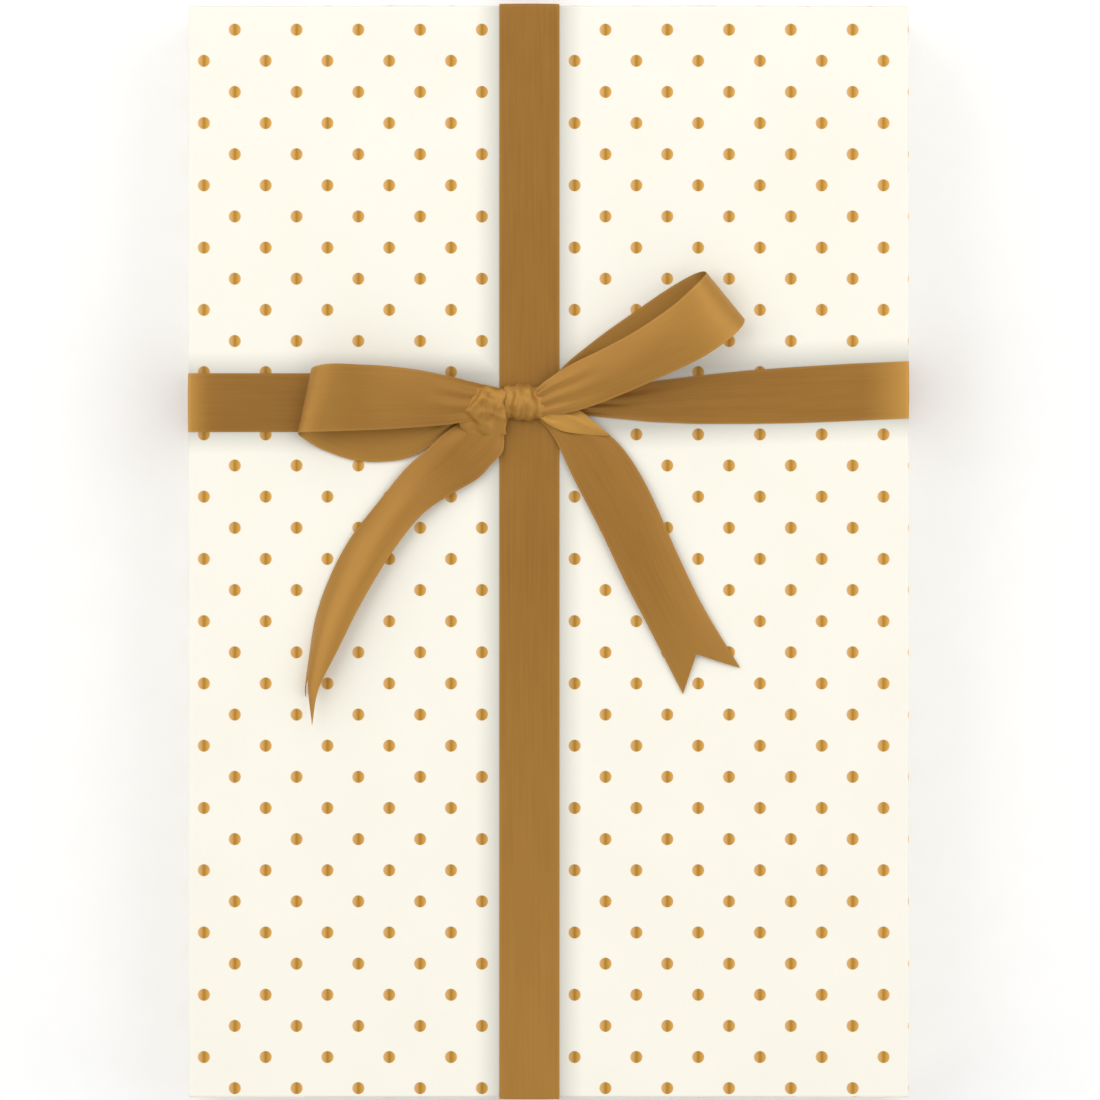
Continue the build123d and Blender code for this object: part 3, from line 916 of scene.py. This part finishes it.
# %% The left tail
NOTCH = 13 * MM                      # depth of the V cut in a tail's end
LEFT_TAIL = [
    (-9.0, -0.5, 2.4, -6.5, -6.0, 2.4, 0.3, 0.4, 0.0),
    (-19.0, -4.0, 3.0, -8.4, -12.5, 2.6, 0.5, 0.5, 0.08),
    (-28.5, -9.4, 3.4, -9.0, -20.2, 3.0, 0.8, 0.3, 0.05),
    (-34.4, -13.8, 3.5, -14.0, -26.0, 3.2, 1.1, 0.2, 0.03),
    (-39.5, -18.5, 3.4, -19.6, -31.8, 3.4, 1.3, 0.1, 0.0),
    (-49.5, -27.5, 3.0, -30.5, -38.2, 4.0, 1.8, 0.0, 0.1),
    (-60.5, -41.0, 2.4, -42.5, -46.6, 5.4, 2.4, 0.0, 0.2),
    (-72.8, -57.0, 1.8, -54.5, -61.5, 7.0, 2.8, 0.0, 0.28),
    (-81.4, -73.5, 1.2, -67.3, -82.5, 8.4, 3.0, 0.0, 0.32),
    (-87.2, -90.5, 0.9, -77.6, -103.0, 9.2, 3.0, 0.0, 0.35),
    (-90.4, -111.0, 0.8, -85.6, -119.5, 9.2, 2.4, 0.0, 0.3),
    (-91.2, -122.5, 0.8, -88.3, -134.3, 8.8, 1.6, 0.0, 0.3),
]
left_tail, left_tail_length = lay_ribbon(
    "left_tail", from_knot(LEFT_TAIL), pleats=2, notch=NOTCH, crumple=0.2 * MM, flip=True, seed=3
)

# %% The right tail
RIGHT_TAIL = [
    (6.0, -7.5, 1.6, 12.0, -1.5, 1.6, 0.3, 0.4, 0.1),
    (10.5, -12.0, 1.6, 22.5, -4.0, 1.6, 0.5, 0.4, 0.1),
    (14.6, -19.0, 1.8, 32.0, -10.8, 1.8, 0.7, 0.25, 0.0),
    (20.6, -32.0, 2.4, 41.5, -19.8, 2.4, 1.1, 0.0, 0.0),
    (31.5, -53.0, 3.0, 51.5, -36.0, 3.0, 1.5, 0.0, 0.02),
    (41.5, -74.0, 3.0, 64.8, -65.5, 3.0, 1.7, 0.0, 0.05),
    (52.3, -94.7, 2.2, 75.2, -86.5, 2.2, 1.4, 0.0, 0.15),
    (66.0, -121.4, 1.0, 89.8, -110.5, 1.0, 0.4, 0.0, 0.25),
]
right_tail, right_tail_length = lay_ribbon(
    "right_tail", from_knot(RIGHT_TAIL), pleats=2, notch=NOTCH, crumple=0.15 * MM, flip=True, seed=4
)

# %% [markdown]
# ### The knot and its gathers
#
# The knot is the ribbon wrapped once over the crossing and pulled tight, so it is a short strip
# arched over the middle and full of pleats. Beside it the loops and tails are bunched: one
# crumpled gather lies at the left, and a smoother one sweeps out to the right.

# %% The knot
KNOT_WRAP = [
    (-7.0, 5.8, 0.8, 3.6, 6.2, 0.8, 0.2, 0.2, 0.3),
    (-8.2, 6.4, 2.4, 5.4, 6.4, 2.4, 1.2, 0.35, 0.35),
    (-8.9, 4.2, 4.0, 6.8, 4.0, 4.0, 2.4, 0.45, 0.4),
    (-9.2, 0.2, 4.6, 8.2, 0.0, 4.6, 3.0, 0.45, 0.4),
    (-8.6, -3.8, 4.0, 8.6, -3.6, 4.0, 2.4, 0.45, 0.38),
    (-7.0, -6.3, 2.4, 7.8, -6.1, 2.4, 1.2, 0.35, 0.35),
    (-5.6, -6.4, 0.8, 6.4, -6.2, 0.8, 0.2, 0.2, 0.3),
]
knot, knot_length = lay_ribbon(
    "bow_knot_wrap", from_knot(KNOT_WRAP, 0.5 * MM), cells=48, pleats=3, crumple=0.8 * MM, flip=True, seed=5, twist=2.4
)
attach(knot, "package")
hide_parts("bow_knot")

# %% The gathers beside the knot
LEFT_GATHER = [
    (-20.0, 8.0, 4.6, -8.0, 5.4, 3.4, 0.0, 0.1, 0.24),
    (-23.5, 6.4, 6.0, -8.0, 4.2, 4.8, 1.2, 0.4, 0.44),
    (-27.0, 2.4, 6.8, -8.2, 1.2, 5.2, 2.2, 0.6, 0.44),
    (-28.6, -2.4, 6.6, -8.2, -2.4, 5.2, 2.3, 0.7, 0.24),
    (-28.0, -7.0, 5.6, -7.8, -6.0, 4.6, 1.8, 0.6, 0.29),
    (-25.6, -10.8, 4.6, -7.6, -9.8, 4.2, 0.9, 0.4, 0.24),
    (-22.4, -13.4, 3.9, -7.6, -13.2, 3.4, 0.1, 0.1, 0.19),
]
left_gather, left_gather_length = lay_ribbon(
    "left_gather", from_knot(LEFT_GATHER, 0.6 * MM), cells=44, pleats=2, crumple=1.2 * MM, flip=True, seed=6, twist=1.8
)
RIGHT_GATHER = [
    (5.8, -1.0, 3.0, 6.0, -6.0, 3.4, 0.2, 0.2, 0.52),
    (11.0, -1.4, 3.2, 10.6, -9.6, 3.4, 0.8, 0.3, 0.72),
    (17.5, -1.0, 3.0, 15.6, -11.8, 3.4, 1.1, 0.2, 0.77),
    (23.9, -3.9, 2.8, 21.2, -12.8, 3.0, 0.9, 0.1, 0.67),
    (30.0, -9.0, 2.8, 27.6, -13.4, 2.8, 0.4, 0.0, 0.57),
    (35.4, -13.4, 2.6, 34.6, -14.0, 2.6, 0.0, 0.0, 0.42),
]
right_gather, right_gather_length = lay_ribbon(
    "right_gather", from_knot(RIGHT_GATHER, 0.8 * MM), pleats=2, crumple=0.4 * MM, seed=7, twist=0.8
)
print("gathers, mm long:", round(left_gather_length / MM), round(right_gather_length / MM))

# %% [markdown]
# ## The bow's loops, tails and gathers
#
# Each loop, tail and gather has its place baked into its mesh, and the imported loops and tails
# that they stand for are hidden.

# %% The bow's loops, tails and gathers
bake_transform(right_gather)
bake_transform(left_gather)
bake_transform(left_loop)
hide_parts("bow_left_loop")
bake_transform(right_loop)
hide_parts("bow_right_loop")
for tail, body, node, length in (
    (left_tail, "left_tail", "bow_left_tail", left_tail_length),
    (right_tail, "right_tail", "bow_right_tail", right_tail_length),
):
    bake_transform(tail)
    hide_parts(node)

# %% [markdown]
# ## The tape
#
# Clear tape holds the lap underneath and the folded flaps at the ends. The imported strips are
# thin and the right size, so they stay and take the tape's finish.

# %% Finish the tape
for name in ("seam_tapes", "far_end_tapes", "near_end_tapes"):
    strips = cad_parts[name]
    strips.data.materials.clear()
    strips.data.materials.append(tape_finish)
print("tapes finished")

# %% [markdown]
# ## Floor, light and camera
#
# The parcel lies face up and is seen from straight above with a long lens. Four broad soft lamps
# stand low around it, strongest at its sides, so flat satin stays deep and every curve of it
# catches a light edge.

# %% The floor
floor_finish, floor_tree, floor_shader = new_material("pale_floor")
floor_place = floor_tree.nodes.new("ShaderNodeTexCoord")
floor_grain = noise_node(floor_tree, floor_place.outputs["Object"], 60.0, 4.0)
floor_tree.links.new(
    ramp_node(floor_tree, floor_grain, ((0.3, (0.985, 0.985, 0.985)), (0.7, (0.998, 0.998, 0.998)))),
    floor_shader.inputs["Base Color"],
)
floor_shader.inputs["Roughness"].default_value = 0.9
floor_shader.inputs["Specular IOR Level"].default_value = 0.1
bpy.ops.object.select_all(action="DESELECT")
bpy.ops.mesh.primitive_plane_add(size=30.0, location=(0, 0, 0))
floor = begin("floor")
bpy.ops.object.transform_apply(location=True, rotation=True, scale=True)
floor.data.materials.append(floor_finish)
print("floor laid")

# %% The light
world = bpy.data.worlds.new("studio")
bpy.context.scene.world = world
world.use_nodes = True
world.node_tree.nodes["Background"].inputs["Color"].default_value = (1.0, 1.0, 1.0, 1)
world.node_tree.nodes["Background"].inputs["Strength"].default_value = 0.49


def soft_lamp(name, place, size, power):
    """A square area lamp aimed at the parcel."""
    lamp = bpy.data.lights.new(name, "AREA")
    lamp.shape = "SQUARE"
    lamp.size = size
    lamp.energy = power
    holder = bpy.data.objects.new(name, lamp)
    bpy.context.scene.collection.objects.link(holder)
    holder.location = place
    aim = Vector((0, 0, FRONT)) - Vector(place)
    holder.rotation_euler = aim.to_track_quat("-Z", "Y").to_euler()
    return holder


soft_lamp("lamp_left", (-1.5, 0.7, 1.7), 2.4, 21.5)
soft_lamp("lamp_right", (1.5, 0.4, 1.7), 2.4, 18.5)
soft_lamp("lamp_back", (0.0, 1.8, 1.6), 2.4, 11.5)
soft_lamp("lamp_front", (0.2, -1.8, 1.6), 2.4, 7.5)
print("four soft lamps set")

# %% The camera
LENS = 250.0
SEEN = 0.4583                        # width of the front plane that the camera takes in
lens = bpy.data.cameras.new("camera")
lens.lens = LENS
lens.sensor_width = 36.0
lens.clip_start = 0.1
lens.clip_end = 50.0
camera = bpy.data.objects.new("camera", lens)
bpy.context.scene.collection.objects.link(camera)
camera.location = (0.6 * MM, 0.6 * MM, FRONT + SEEN * LENS / lens.sensor_width)
camera.rotation_euler = (0, 0, 0)
bpy.context.scene.camera = camera
bpy.context.scene.view_settings.view_transform = "Standard"
print("camera is", round(camera.location.z, 3), "m up")
